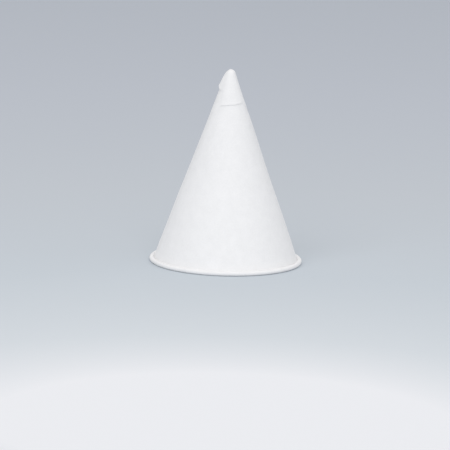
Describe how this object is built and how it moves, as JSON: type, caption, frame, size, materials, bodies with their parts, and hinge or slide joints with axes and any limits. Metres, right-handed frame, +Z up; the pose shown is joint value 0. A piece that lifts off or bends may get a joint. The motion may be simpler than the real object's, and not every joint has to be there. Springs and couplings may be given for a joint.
{
  "type": "cone paper cup",
  "caption": "Pointed cone cup of thin white paper with a rolled rim, a lapped side seam and a second ply over the tip, standing on its mouth.",
  "frame": {"origin": "centre of the ring that the rolled rim rests on, with the cup standing on its mouth", "axes": "+Z up the axis of the cone to its tip; +X is 10 degrees from the outer edge of the side seam; -Y is the side with the tip flap's edge"},
  "size_m": [0.073, 0.073, 0.0935],
  "materials": {
    "paper": "matt uncoated white paper"
  },
  "bodies": {
    "root": {"cup": "paper"}
  },
  "joints": []
}
